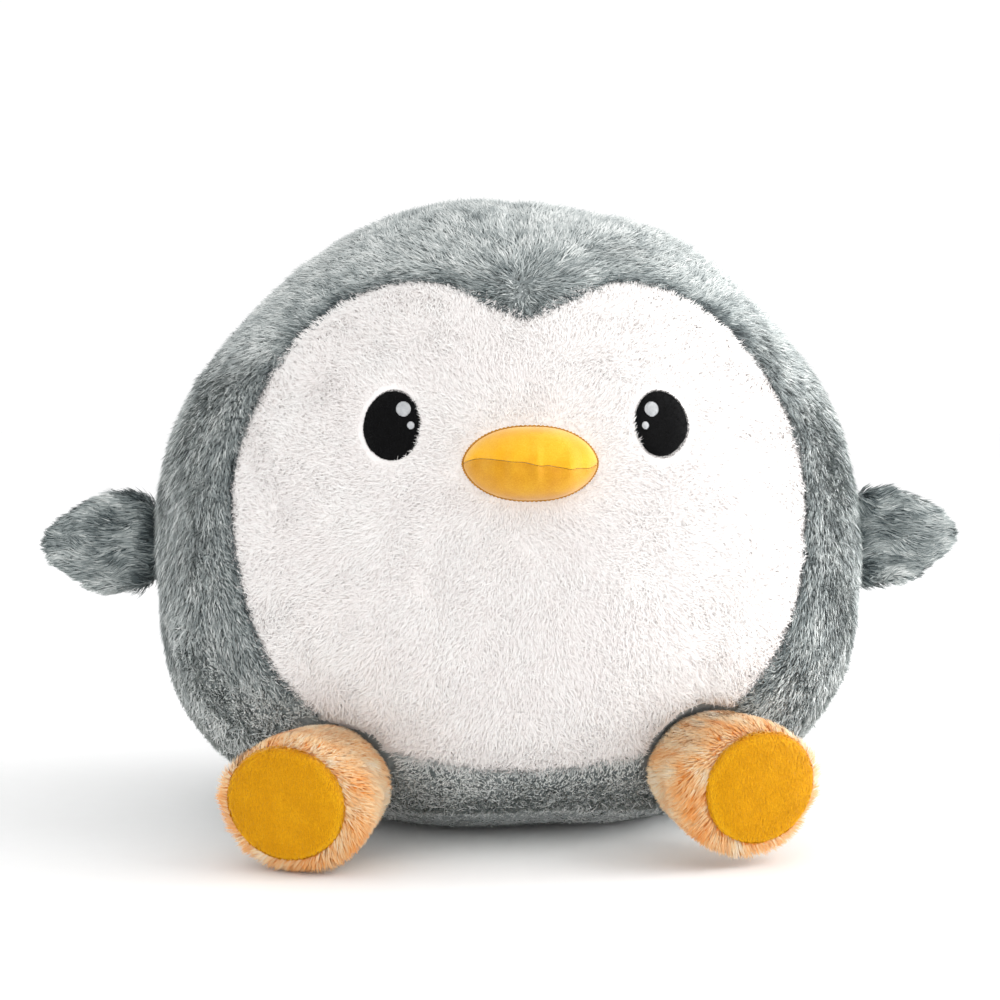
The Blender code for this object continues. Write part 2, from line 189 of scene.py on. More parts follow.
def applied(obj, kind, **settings):
    """Adds a modifier, and keeps its result as the object's mesh."""
    modifier = obj.modifiers.new(kind.lower(), kind)
    for key, value in settings.items():
        setattr(modifier, key, value)
    depsgraph = bpy.context.evaluated_depsgraph_get()
    mesh = bpy.data.meshes.new_from_object(obj.evaluated_get(depsgraph))
    obj.modifiers.clear()
    obj.data = mesh


def remeshed(name, node, voxel, materials):
    """A copy of a CAD solid in even faces."""
    obj = bpy.data.objects.new(name, frame["nodes"][node].data.copy())
    bpy.context.scene.collection.objects.link(obj)
    applied(obj, "REMESH", mode="VOXEL", voxel_size=voxel)
    obj.data.materials.clear()
    for mat in materials:
        obj.data.materials.append(mat)
    obj.data.shade_smooth()
    return obj


def filled(obj, held, pressure, cap):
    """Swells a closed skin by cloth simulation; points held at 1 stay, and none moves more than cap."""
    rest = get_points(obj.data)
    group = obj.vertex_groups.new(name="held")
    for i, weight in enumerate(held):
        group.add([i], float(weight), "REPLACE")
    modifier = obj.modifiers.new("cloth", "CLOTH")
    settings = modifier.settings
    settings.quality = 5
    settings.mass = 0.3
    settings.tension_stiffness = 15
    settings.compression_stiffness = 15
    settings.bending_stiffness = 2
    settings.use_pressure = True
    settings.uniform_pressure_force = pressure
    settings.vertex_group_mass = "held"
    settings.effector_weights.gravity = 0
    modifier.collision_settings.use_collision = False
    for number in range(1, 21):
        bpy.context.scene.frame_set(number)
    depsgraph = bpy.context.evaluated_depsgraph_get()
    moved = get_points(obj.evaluated_get(depsgraph).data) - rest
    obj.modifiers.clear()
    obj.vertex_groups.clear()
    bpy.context.scene.frame_set(1)
    far = np.linalg.norm(moved, axis=1, keepdims=True)
    set_points(obj, rest + moved * np.minimum(1, cap / np.maximum(far, 1e-9)))


# ---------------------------------------------------------------- materials

def plain_material(name, colour, roughness=0.75, sheen=0.25):
    mat = bpy.data.materials.new(name)
    mat.use_nodes = True
    shader = mat.node_tree.nodes["Principled BSDF"]
    shader.inputs["Base Color"].default_value = (*colour, 1)
    shader.inputs["Roughness"].default_value = roughness
    shader.inputs["Specular IOR Level"].default_value = 0.15
    shader.inputs["Sheen Weight"].default_value = sheen
    shader.inputs["Sheen Roughness"].default_value = 0.5
    mat.diffuse_color = (*colour, 1)
    return mat


def fabric_material(name, codes, grain, mottle, bump, roughness=0.85, sheen=0.3, stretch=(1, 1, 1)):
    """Cloth whose colour wanders between the codes, with a fine grain that also roughens its surface."""
    mat = plain_material(name, srgb(codes[0]), roughness, sheen)
    nodes, links = mat.node_tree.nodes, mat.node_tree.links
    shader = nodes["Principled BSDF"]
    place = nodes.new("ShaderNodeTexCoord")
    mapping = nodes.new("ShaderNodeMapping")
    mapping.inputs["Scale"].default_value = stretch
    links.new(place.outputs["Object"], mapping.inputs["Vector"])
    fine = nodes.new("ShaderNodeTexNoise")
    fine.inputs["Scale"].default_value = 1 / grain
    fine.inputs["Detail"].default_value = 3
    broad = nodes.new("ShaderNodeTexNoise")
    broad.inputs["Scale"].default_value = 1 / mottle
    broad.inputs["Detail"].default_value = 4
    mix = nodes.new("ShaderNodeMix")
    mix.inputs["Factor"].default_value = 0.55
    ramp = nodes.new("ShaderNodeValToRGB")
    ramp.color_ramp.elements[0].position = 0.32
    ramp.color_ramp.elements[1].position = 0.68
    for element, code in zip(ramp.color_ramp.elements, (codes[0], codes[-1])):
        element.color = (*srgb(code), 1)
    for i, code in enumerate(codes[1:-1]):
        middle = ramp.color_ramp.elements.new(0.32 + 0.36 * (i + 1) / (len(codes) - 1))
        middle.color = (*srgb(code), 1)
    for noise in (fine, broad):
        links.new(mapping.outputs["Vector"], noise.inputs["Vector"])
    links.new(fine.outputs["Fac"], mix.inputs[2])
    links.new(broad.outputs["Fac"], mix.inputs[3])
    links.new(mix.outputs[0], ramp.inputs["Fac"])
    links.new(ramp.outputs["Color"], shader.inputs["Base Color"])
    relief = nodes.new("ShaderNodeBump")
    relief.inputs["Strength"].default_value = 0.5
    relief.inputs["Distance"].default_value = bump
    links.new(fine.outputs["Fac"], relief.inputs["Height"])
    links.new(relief.outputs["Normal"], shader.inputs["Normal"])
    return mat


def shades(name, codes, **settings):
    """A fur's strand materials, from its darkest to its lightest."""
    return [plain_material(f"{name}_{i}", srgb(code), **settings) for i, code in enumerate(codes)]


GREY = shades("grey_strand", ("3a4244", "566062", "788181", "98a0a0", "b4bbba", "cfd4d2", "e8ebe9"))
WHITE = shades("white_strand", ("ece6e3", "f3efec", "f8f4f2", "fbf9f7"))
PEACH = shades("peach_strand", ("ee8f3c", "f0a65c", "f1b97c", "f2c997", "f2d7ae", "f4e2c8"))
GOLD = shades("gold_strand", ("d79504", "e09e06", "e9a70a", "f0b316"), sheen=0)
BLACK = shades("black_strand", ("050506", "0c0c0e", "18181b"), sheen=0.1)

GREY_BACKING = fabric_material("grey_backing", ("6a7273", "8a9191", "a5abab"), 0.002, 0.012, 0.0004)
WHITE_BACKING = fabric_material("white_backing", ("ede8e6", "f5f1ef", "fbf8f6"), 0.002, 0.02, 0.0004)
PEACH_BACKING = fabric_material("peach_backing", ("e79a58", "f1b888", "f4cba6"), 0.002, 0.008, 0.0004)
FIBREFILL = fabric_material("fibrefill_lumps", ("dcdcd6", "ecece8", "f8f8f5"), 0.0015, 0.02, 0.001)


# ---------------------------------------------------------------- outlines and seams, from the CAD panels

class Outline:
    """A panel's edge in front view: how far it reaches from its middle in each direction."""

    def __init__(self, node):
        low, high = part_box(node)
        self.middle = np.array(((low.x + high.x) / 2, (low.z + high.z) / 2))
        points, walls = node_points(node)[:, (0, 2)] - self.middle, set()
        for face in frame["nodes"][node].data.polygons:
            outward = points[list(face.vertices)].mean(axis=0)
            if abs(face.normal.y) < 0.02 and np.dot(outward, (face.normal.x, face.normal.z)) > 0:
                walls.update(face.vertices)
        flat = points[sorted(walls)]
        turn, reach = np.arctan2(flat[:, 1], flat[:, 0]), np.hypot(flat[:, 0], flat[:, 1])
        order = np.argsort(turn)
        turn, reach = turn[order], reach[order]
        window = math.radians(8)
        rim = [r > 0.75 * reach[abs(turn - t) < window].max() for t, r in zip(turn, reach)]
        self.turn, self.reach = turn[rim], reach[rim]

    def distance(self, points):
        """How far each point lies inside the edge; points outside are negative."""
        flat = points[:, (0, 2)] - self.middle
        turn, reach = np.arctan2(flat[:, 1], flat[:, 0]), np.hypot(flat[:, 0], flat[:, 1])
        edge = np.interp(turn, self.turn, self.reach, period=2 * math.pi)
        step = math.radians(1.5)
        ahead = np.interp(turn + step, self.turn, self.reach, period=2 * math.pi)
        behind = np.interp(turn - step, self.turn, self.reach, period=2 * math.pi)
        slope = (ahead - behind) / (2 * step * edge)
        return (edge - reach) / np.sqrt(1 + slope ** 2)


FACE = Outline("face_panel")
EYES = {side: Outline(f"eye_{side}") for side in SIDES}
BEAK_LOW, BEAK_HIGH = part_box("beak_lower")[0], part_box("beak_upper")[1]
BEAK_CENTRE = (BEAK_LOW + BEAK_HIGH) / 2
BEAK_HALF = (BEAK_HIGH - BEAK_LOW) / 2
SIDE_SEAM_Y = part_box("back_gore_left")[0].y
BODY_CENTRE = np.array((0, (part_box("body_stuffing")[0].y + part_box("body_stuffing")[1].y) / 2, 0.15))
BASE_HALF = (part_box("base_panel")[1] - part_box("base_panel")[0]) / 2
JOINTS = {joint["child"]: joint for joint in frame["joints"]}


def face_depth(points):
    """How far inside the white panel each point lies; it covers only the front."""
    return np.where(points[:, 1] < SIDE_SEAM_Y, FACE.distance(points), -1.0)


def base_depth(points):
    """How far inside the base panel each point lies."""
    reach = np.hypot(points[:, 0] / BASE_HALF.x, (points[:, 1] - BODY_CENTRE[1]) / BASE_HALF.y)
    return np.where(points[:, 2] < 0.06, (1 - reach) * BASE_HALF.x, -1.0)


def beak_depth(points):
    """How far inside the beak's almond each point lies."""
    flat = (points - np.array(BEAK_CENTRE)) / np.array(BEAK_HALF)
    reach = (abs(flat[:, 0]) ** BEAK_POWER + abs(flat[:, 2]) ** (1 / BEAK_FULLNESS)) ** 0.5
    return np.where(points[:, 1] < 0, (1 - reach) * BEAK_HALF.z, -1.0)


def beak_profile(share):
    """The beak's half height, as a share of the most, at a share of its half width."""
    return (1 - abs(share) ** BEAK_POWER) ** BEAK_FULLNESS


def foot_place(side, points):
    """Each point in the foot's own directions: level, up and forward from the middle of its root."""
    joint = JOINTS[f"foot_{side}"]
    sole = sum((Vector(corner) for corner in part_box(f"foot_sole_{side}")), Vector()) / 2
    middle, level = Vector(joint["pos_m"]), Vector(joint["axis"]).normalized()
    forward = (sole - middle).normalized()
    forward = (forward - level * forward.dot(level)).normalized()
    axes = np.array((level, forward.cross(level), forward))
    return (points - np.array(middle)) @ axes.T, axes, np.array(middle)


def seam_distance(points):
    """How far each point on the body is from the nearest seam."""
    face, base = face_depth(points), base_depth(points)
    grey = (face < 0) & (base < 0)
    to_side = np.where(grey, abs(points[:, 1] - SIDE_SEAM_Y), 1.0)
    to_centre = np.where(grey, abs(points[:, 0]), 1.0)
    to_base = np.where(points[:, 2] < 0.06, abs(base), 1.0)
    to_face = np.where(points[:, 1] < 0, abs(face), 1.0)
    return np.min((to_side, to_centre, to_base, to_face), axis=0)


# ---------------------------------------------------------------- fur

def sown(obj, density, seed, keep):
    """Roots spread evenly over an object's surface where keep says so, with the surface's normals."""
    rng = np.random.default_rng(seed)
    points, corners, normals = triangles(obj)
    a, b, c = (points[corners[:, i]] for i in range(3))
    area = np.linalg.norm(np.cross(b - a, c - a), axis=1) / 2
    count = int(area.sum() * density)
    total = np.cumsum(area)
    chosen = np.searchsorted(total, (np.arange(count) + rng.random(count)) / count * total[-1])
    chosen = np.minimum(chosen, len(area) - 1)
    u, v = rng.random((2, count, 1))
    turned = (u + v) > 1
    u, v = np.where(turned, 1 - u, u), np.where(turned, 1 - v, v)
    roots = a[chosen] + u * (b - a)[chosen] + v * (c - a)[chosen]
    n0, n1, n2 = (normals[corners[chosen, i]] for i in range(3))
    out = unit(n0 * (1 - u - v) + n1 * u + n2 * v)
    kept = keep(roots)
    return roots[kept], out[kept]


def gathered(roots, tips, seed, spacing, amount):
    """Draws the tips of neighbouring strands together into tufts."""
    rng = np.random.default_rng(seed)
    leaders = rng.choice(len(roots), max(1, len(roots) // spacing), replace=False)
    tree = KDTree(len(leaders))
    for i, leader in enumerate(leaders):
        tree.insert(roots[leader], i)
    tree.balance()
    nearest = leaders[[tree.find(root)[1] for root in roots]]
    offset = (roots - roots[nearest]) * rng.uniform(0.15, 0.5, (len(roots), 1))
    target = tips[nearest] + offset
    return tips + (target - tips) * amount[:, None]


def strands(name, roots, out, lie, length, rise, width, tone, materials, seed, body, tuft=(14, 0.6)):
    """One fur piece. Each strand is a ribbon of two lengths that bends over in the direction of lie.

    rise is how steeply it stands, from 0 lying flat to 1 upright; tone is its shade from 0 to 1.
    """
    rng = np.random.default_rng(seed)
    count = len(roots)
    length, rise, tone = (np.broadcast_to(value, count).astype(float) for value in (length, rise, tone))
    steep, flat = np.sin(rise * math.pi / 2)[:, None], np.cos(rise * math.pi / 2)[:, None]
    lie = unit(across(lie, out))
    first = unit(out * (steep + 0.10) + lie * flat)
    second = unit(out * (steep - 0.12) + lie * (flat + 0.25))
    size = length[:, None]
    knees = roots + first * size * 0.5
    tips = knees + second * size * 0.5
    tips = gathered(roots, tips, seed, tuft[0], rng.uniform(0.2, 1, count) * tuft[1])
    knees = knees + (tips - knees - second * size * 0.5) * 0.35
    roll = rng.uniform(-0.4, 0.4, (count, 1))
    side = unit(np.cross(first, out) + 1e-9)
    side = unit(side * np.cos(roll) + unit(np.cross(first, side)) * np.sin(roll))
    facing = unit(np.cross(side, second))
    turned = np.where((facing * out).sum(1, keepdims=True) < 0, -1.0, 1.0)
    side, facing = side * turned, facing * turned
    half = (width * rng.uniform(0.7, 1.3, count) / 2)[:, None]
    buried = roots - out * ROOT_DEPTH
    rows = np.stack((buried - side * half, buried + side * half, knees - side * half * 0.8,
                     knees + side * half * 0.8, tips), axis=1)
    rows[..., 2] = np.maximum(rows[..., 2], 0.0004)
    points = rows.reshape(-1, 3)

    first_corner = np.arange(count)[:, None] * 5
    quads = first_corner + np.array((0, 1, 3, 2))
    tip_faces = first_corner + np.array((2, 3, 4))
    mesh = bpy.data.meshes.new(name)
    mesh.vertices.add(len(points))
    mesh.vertices.foreach_set("co", points.astype(np.float32).ravel())
    loops = np.concatenate((quads, tip_faces), axis=1).ravel()
    mesh.loops.add(len(loops))
    mesh.loops.foreach_set("vertex_index", loops.astype(np.int32))
    mesh.polygons.add(2 * count)
    starts = (np.arange(count)[:, None] * 7 + np.array((0, 4))).ravel()
    mesh.polygons.foreach_set("loop_start", starts.astype(np.int32))
    last = len(materials) - 1
    tip_shade = np.clip(np.rint(tone * last), 0, last)
    # painted shade: each strand's root part up to two shades darker than its tip, deep in the pile
    root_shade = np.clip(tip_shade - rng.integers(0, 3, count), 0, last)
    shade = np.stack((root_shade, tip_shade), axis=1)
    mesh.polygons.foreach_set("material_index", shade.astype(np.int32).ravel())
    mesh.update(calc_edges=True)
    for mat in materials:
        mesh.materials.append(mat)
    mesh.shade_smooth()
    soft = unit(facing * (1 - SOFTNESS) + out * SOFTNESS)
    mesh.normals_split_custom_set_from_vertices(np.repeat(soft, 5, axis=0).tolist())
    obj = bpy.data.objects.new(name, mesh)
    bpy.context.scene.collection.objects.link(obj)
    if isinstance(body, str):
        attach(obj, body)
    else:
        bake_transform(obj)
    return obj


# ---------------------------------------------------------------- fillings and their covers

def limb_backing(name, skin, material):
    """A limb's backing cloth, just outside its filling."""
    backing = bpy.data.objects.new(name, skin.data.copy())
    bpy.context.scene.collection.objects.link(backing)
    points, _, normals = triangles(backing)
    set_points(backing, points + normals * FABRIC)
    backing.data.materials.clear()
    backing.data.materials.append(material)
    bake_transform(backing)
    return backing


def finish_filling(filling, body, node, gap=0.0008):
    points, _, normals = triangles(filling)
    lumps = 0.0005 * (1 + patches(5, 0.012)(points))
    set_points(filling, points - normals * (gap + np.clip(lumps, 0, 0.001))[:, None])
    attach(filling, body)
    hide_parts(node)


def disc_faces(rings, around):
    """The faces of a disc: a middle point, then rings of points around it."""
    faces = [(0, 1 + j, 1 + (j + 1) % around) for j in range(around)]
    for i in range(rings - 1):
        for j in range(around):
            a, b = 1 + i * around + j, 1 + i * around + (j + 1) % around
            faces.append((a, a + around, b + around, b))
    return faces


# ---------------------------------------------------------------- body

def feet_clear(points, room):
    """True where a point is further than room from both foot roots."""
    clear = np.ones(len(points), bool)
    for side in SIDES:
        place = foot_place(side, points)[0]
        clear &= np.linalg.norm(place * (1 / FOOT_OVAL, 1, 1), axis=1) > room
    return clear


def make_body_skin():
    skin = remeshed("body_fill", "body_stuffing", VOXEL, [FIBREFILL])
    points = get_points(skin.data)
    near = seam_distance(points)
    held = (near < SEAM_HOLD) | ~feet_clear(points, 0.036) | (points[:, 2] < 0.012)
    filled(skin, held.astype(float), 4, 0.0025)
    applied(skin, "SUBSURF", levels=1, render_levels=1)
    points, _, normals = triangles(skin)
    crease = SEAM_DEPTH * np.exp(-(seam_distance(points) / SEAM_WIDTH) ** 2)
    unevenness = 0.0012 * patches(11, 0.05)(points)
    shoulders = np.exp(-((points[:, 2] - 0.262) / 0.032) ** 2) * smooth(abs(points[:, 0]), 0.04, 0.10)
    swell = BODY_PLUMP + unevenness - crease - SHOULDER_TRIM * shoulders
    set_points(skin, points + normals * swell[:, None])
    return skin


def panel_of(points):
    """Which panel each point belongs to."""
    names = np.full(len(points), "", dtype="<U20")
    white, base = face_depth(points) > 0, base_depth(points) > 0
    for side, sign in SIDES.items():
        here = points[:, 0] * sign >= 0
        names[here & (points[:, 1] < SIDE_SEAM_Y)] = f"front_gore_{side}"
        names[here & (points[:, 1] >= SIDE_SEAM_Y)] = f"back_gore_{side}"
    names[base] = "base_panel"
    names[white] = "face_panel"
    return names


def make_backings(skin):
    """The six panels' backing cloth, cut from the filled form along the seams."""
    points, _, normals = triangles(skin)
    faces = [tuple(polygon.vertices) for polygon in skin.data.polygons]
    middles = np.array([points[list(face)].mean(axis=0) for face in faces])
    owners = panel_of(middles)
    outer = points + normals * FABRIC
    for panel in np.unique(owners):
        own = [face for face, owner in zip(faces, owners) if owner == panel]
        used = sorted({corner for face in own for corner in face})
        number = {corner: i for i, corner in enumerate(used)}
        white = panel == "face_panel"
        backing = new_object(
            f"{panel}_backing", outer[used], [[number[c] for c in face] for face in own],
            [WHITE_BACKING if white else GREY_BACKING])
        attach(backing, "body")
        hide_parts(str(panel))


def make_grey_fur(skin):
    mottle, broad, stroke = patches(21, 0.011), patches(22, 0.035), patches(23, 0.004)
    wander = swirl(31, 0.030)
    face_middle = np.array((0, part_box("face_panel")[0].y, 0.150))

    def keep(points):
        return (face_depth(points) < 0) & feet_clear(points, FOOT_BARE)

    roots, out = sown(skin, BODY_DENSITY, 41, keep)
    edge = -face_depth(roots)
    front = smooth(-roots[:, 1:2], -0.04, 0.06)
    near = np.exp(-np.maximum(edge, 0) / 0.012)[:, None] * front
    top = smooth(roots[:, 2:3], 0.20, 0.26)
    fall = 0.9 * smooth(roots[:, 2:3], 0.03, 0.12)
    to_face = unit((face_middle - roots) * (1, 0.25, 1))
    flow = -UP * fall + to_face * (0.65 * front + 0.8 * near * (1 - top))
    lie = flow * (1 - top) + unit(roots - WHORL) * top * 0.8 + wander(roots) * 0.32
    rng = np.random.default_rng(43)
    lie = lie + rng.normal(0, 0.30, lie.shape)
    base = smooth(base_depth(roots), -0.01, 0.01)
    length = GREY_PILE * rng.uniform(0.75, 1.25, len(roots)) * (1 - 0.45 * base)
    rise = 0.32 + rng.normal(0, 0.08, len(roots)) - 0.15 * base
    # heathered; lighter on top, partly the fur's own tone and partly painted light from above; lighter low
    # down, painted light; dark along the white panel's seam, painted shade; darker at the whorl
    tone = 0.69 + 0.12 * mottle(roots) + 0.05 * broad(roots) + 0.11 * stroke(roots)
    # partly painted light: lighter shades on top, as if lit from above
    tone += rng.normal(0, 0.13, len(roots)) + 0.06 * smooth(roots[:, 2], 0.16, 0.28)
    # painted light: lighter shades low down, where the body is in shade
    tone += 0.50 * smooth(-roots[:, 2], -0.10, -0.03)
    # painted shade: darker strands along the seam with the white panel
    tone -= 0.60 * np.exp(-np.maximum(edge, 0) / 0.0036) * (roots[:, 1] < 0)
    tone -= 0.22 * np.exp(-(np.linalg.norm(roots - WHORL, axis=1) / 0.018) ** 2)
    halves = np.char.add(panel_of(roots), np.where(roots[:, 2] > HALF_HEIGHT, "_upper", "_lower"))
    for number, half in enumerate(np.unique(halves)):
        own = halves == half
        strands(
            f"{half}_fur", roots[own], out[own], lie[own], length[own], np.clip(rise[own], 0.1, 0.9),
            0.0007, tone[own], GREY, 50 + number, "body", tuft=(12, 0.55))


def make_white_fur(skin):
    wander, mottle, stroke = swirl(61, 0.014), patches(64, 0.02), patches(65, 0.004)

    def keep(points):
        clear = (face_depth(points) > -0.0008) & feet_clear(points, FOOT_BARE)
        for outline in EYES.values():
            clear &= (outline.distance(points) < -0.0004) | (points[:, 1] > 0)
        return clear & (beak_depth(points) < 0.0005)

    roots, out = sown(skin, WHITE_DENSITY, 71, keep)
    rng = np.random.default_rng(73)
    edge = face_depth(roots)
    outward = unit((roots - np.array(BEAK_CENTRE)) * (1, 0, 1))
    near = np.exp(-np.maximum(edge, 0) / 0.006)[:, None]
    lobes = (roots[:, 2:3] > 0.225) & (abs(roots[:, :1]) > 0.022)
    lie = outward * 0.8 + wander(roots) * 0.4 + outward * near * np.where(lobes, 0.6, -1.2)
    lie += rng.normal(0, 0.45, lie.shape)
    length = WHITE_PILE * rng.uniform(0.75, 1.2, len(roots)) * (1 - 0.25 * near[:, 0])
    rise = 0.36 + rng.normal(0, 0.06, len(roots))
    short = np.zeros(len(roots))
    for side, outline in EYES.items():
        to_eye = -outline.distance(roots)
        close = np.exp(-np.maximum(to_eye, 0) / 0.0032)
        away = (roots[:, (0, 2)] - outline.middle)
        lie += np.stack((away[:, 0], np.zeros(len(roots)), away[:, 1]), axis=1) / 0.015 * close[:, None]
        short = np.maximum(short, close)
    to_beak = np.exp(-np.maximum(-beak_depth(roots), 0) / 0.003)
    away = (roots - np.array(BEAK_CENTRE)) / np.array(BEAK_HALF)
    lie += away * (1, 0, 1) * to_beak[:, None] * 0.3
    length *= 1 - np.maximum(0.4 * short, 0.45 * to_beak)
    tone = 0.82 + 0.06 * mottle(roots) + 0.05 * stroke(roots) + rng.normal(0, 0.08, len(roots))
    parts = {"brow": roots[:, 2] > HALF_HEIGHT, "belly": roots[:, 2] <= HALF_HEIGHT}
    for side, sign in SIDES.items():
        for part, here in parts.items():
            own = here & (roots[:, 0] * sign >= 0)
            strands(
                f"{part}_fur_{side}", roots[own], out[own], lie[own], length[own],
                np.clip(rise[own], 0.1, 0.9), 0.0006, tone[own], WHITE, 80 + sign, "body",
                tuft=(10, 0.3))


# ---------------------------------------------------------------- wings

def make_wing(side):
    sign = SIDES[side]
    hinge = Vector(JOINTS[f"wing_{side}"]["pos_m"])
    low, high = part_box(f"wing_stuffing_{side}")
    skin = remeshed(f"wing_fill_{side}", f"wing_stuffing_{side}", LIMB_VOXEL, [FIBREFILL])
    points = get_points(skin.data)
    out_x = points[:, 0] * sign
    inner_x = min(low.x * sign, high.x * sign)
    stretch = smooth(-out_x, -inner_x - 0.006, -inner_x)
    points[:, 0] -= sign * stretch * 0.018
    along = np.clip((out_x - 0.195) / 0.052, 0, 1)
    points += along[:, None] * (sign * 0.0035, 0, sign * 0.0025)
    spread = WING_SPREAD[0] + (WING_SPREAD[1] - WING_SPREAD[0]) * along
    points[:, 2] = hinge.z + (points[:, 2] - hinge.z) * spread
    set_points(skin, points)
    filled(skin, (stretch > 0).astype(float), 5, 0.0015)
    applied(skin, "SUBSURF", levels=1, render_levels=1)

    start, end = ((sign * x, hinge.y, hinge.z) for x in (WING_ROOT, WING_BENT))
    crossing = ("body", f"wing_{side}", start, end)
    backing = limb_backing(f"wing_backing_{side}", skin, GREY_BACKING)
    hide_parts(f"wing_front_{side}", f"wing_back_{side}")

    roots, out = sown(backing, LIMB_DENSITY, 90 + sign, lambda p: p[:, 0] * sign > WING_ROOT)
    rng = np.random.default_rng(92 + sign)
    wander, mottle, streak = swirl(93, 0.012), patches(94, 0.009), patches(95, 0.004)
    share = np.clip((roots[:, 0] * sign - 0.19) / 0.055, 0, 1)
    inward = (hinge.z - roots[:, 2]) * 3 - 0.04
    lie = np.stack((np.full(len(roots), sign * 1.0), np.zeros(len(roots)), inward), axis=1)
    lie += wander(roots) * 0.5 + rng.normal(0, 0.15, lie.shape)
    length = WING_PILE * rng.uniform(0.75, 1.2, len(roots)) * (1 - 0.25 * share)
    stretched = roots * (0.25, 1, 1)
    tone = 0.42 + 0.12 * mottle(roots) + 0.16 * streak(stretched) + rng.normal(0, 0.16, len(roots))
    tone += 0.14 * share + 0.14 * smooth(abs(roots[:, 2] - hinge.z), 0.010, 0.026)
    # painted shade: darker fur at the wing's root, where the body's fur overhangs it
    tone -= 0.35 * np.exp(-(roots[:, 0] * sign - WING_ROOT) / 0.005)
    strands(
        f"wing_fur_{side}", roots, out, lie, length, 0.26 + 0.06 * wander(roots)[:, 1], 0.0008, tone, GREY,
        96 + sign, crossing, tuft=(22, 0.75))
    finish_filling(skin, f"wing_{side}", f"wing_stuffing_{side}")


# ---------------------------------------------------------------- feet

def make_foot(side):
    sign = SIDES[side]
    body = f"foot_{side}"
    skin = remeshed(f"foot_fill_{side}", f"foot_stuffing_{side}", LIMB_VOXEL, [FIBREFILL])
    points = get_points(skin.data)
    place, axes, middle = foot_place(side, points)
    front = place[:, 2].max()
    reach = np.hypot(place[:, 0] / FOOT_OVAL, place[:, 1])
    upper = 1 - 0.8 * smooth(-place[:, 1], 0.004, 0.022)
    wider = 1 + 0.14 * upper * smooth(place[:, 2], 0.0, 0.020) * smooth(reach, 0.012, 0.022)
    place[:, :2] *= wider[:, None]
    set_points(skin, place @ axes + middle)
    held = (place[:, 2] > front - 0.003) | (place[:, 2] < -0.010)
    filled(skin, held.astype(float), 5, 0.0018)
    applied(skin, "SUBSURF", levels=1, render_levels=1)

    root = middle - axes[2] * 0.022
    crossing = ("body", body, tuple(root), tuple(middle + axes[2] * 0.004))
    backing = limb_backing(f"foot_backing_{side}", skin, PEACH_BACKING)
    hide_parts(f"foot_tube_{side}")

    def keep(points):
        place = foot_place(side, points)[0]
        inside = np.hypot(place[:, 0] / FOOT_OVAL, place[:, 1]) < 0.0235
        return ~((place[:, 2] > front - 0.0015) & inside) & (place[:, 2] > -0.020)

    roots, out = sown(backing, LIMB_DENSITY, 110 + sign, keep)
    place = foot_place(side, roots)[0]
    rng = np.random.default_rng(112 + sign)
    wander, mottle, streak = swirl(113, 0.014), patches(114, 0.010), patches(115, 0.004)
    around = np.stack((-place[:, 1], place[:, 0], np.zeros(len(roots))), axis=1)
    radial = unit(place * (1, 1, 0))
    to_rim = front - place[:, 2]
    rim = np.exp(-np.maximum(to_rim, 0) / 0.004)[:, None]
    under = smooth(-place[:, 1], 0.004, 0.022)[:, None]
    local = -np.array((0, 0, 1.0)) * (1 - rim * (1 - under)) + unit(around) * 0.8 * sign
    local = local + radial * rim * 1.2 * (1 - under)
    lie = local @ axes + wander(roots) * 0.7 + rng.normal(0, 0.25, local.shape)
    length = FOOT_PILE * rng.uniform(0.75, 1.2, len(roots)) * (1 - 0.45 * under[:, 0])
    stretched = place * (1, 1, 0.3)
    tone = 0.62 + 0.14 * mottle(roots) + 0.20 * streak(stretched) + rng.normal(0, 0.10, len(roots))
    tone -= 0.25 * np.exp(-((to_rim - 0.004) / 0.005) ** 2) * (place[:, 1] > -0.01)
    strands(
        f"foot_fur_{side}", roots, out, lie, length, 0.34 + 0.05 * wander(roots)[:, 0], 0.0007, tone, PEACH,
        116 + sign, crossing, tuft=(14, 0.5))
    finish_filling(skin, body, f"foot_stuffing_{side}")
    make_sole(side, axes, middle)


def make_sole(side, axes, middle):
    """The velour disc: puffed in the middle, drawn in at its seam, with a fine nap."""
    body = f"foot_{side}"
    place = (node_points(f"foot_sole_{side}") - middle) @ axes.T
    half = (place[:, 0].max(), place[:, 1].max() * 0.97)
    front = place[:, 2].max()
    rings, around = 22, 72
    points = [(0, 0, 1.0)]
    for i in range(1, rings + 1):
        share = i / rings
        crown = math.sqrt(max(0, 1 - share ** 2.6))
        for j in range(around):
            turn = 2 * math.pi * j / around
            points.append((share * math.cos(turn), share * math.sin(turn), crown))
    local = np.array(points)
    bumps = 0.0004 * patches(121, 0.014)(local * 0.027)
    depth = front - 0.0032 + 0.0052 * local[:, 2] + bumps * local[:, 2]
    local = np.stack((local[:, 0] * half[0], local[:, 1] * half[1], depth), axis=1)
    skirt = local[-around:] * (0.93, 0.93, 1) - (0, 0, 0.0015)
    local = np.concatenate((local, skirt))
    faces = disc_faces(rings + 1, around)
    sole = new_object(f"sole_velour_{side}", local @ axes + middle, faces, [GOLD_VELOUR])
    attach(sole, body)
    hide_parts(f"foot_sole_{side}")

    roots, out = sown(sole, SOLE_DENSITY, 131, lambda p: ((p - middle) @ axes.T)[:, 2] > front - 0.004)
    rng = np.random.default_rng(132)
    wander, mottle = swirl(133, 0.010), patches(134, 0.006)
    lie = -UP * 1.2 + wander(roots) * 0.3 + rng.normal(0, 0.15, roots.shape)
    to_edge = np.hypot(*(((roots - middle) @ axes.T)[:, :2] / half).T)
    tone = 0.50 + 0.12 * mottle(roots) + rng.normal(0, 0.16, len(roots)) + 0.5 * smooth(to_edge, 0.84, 0.95)
    length = SOLE_NAP * rng.uniform(0.7, 1.2, len(roots))
    strands(
        f"sole_nap_{side}", roots, out, lie, length, 0.2, 0.00045, tone, GOLD, 135, body,
        tuft=(16, 0.3))


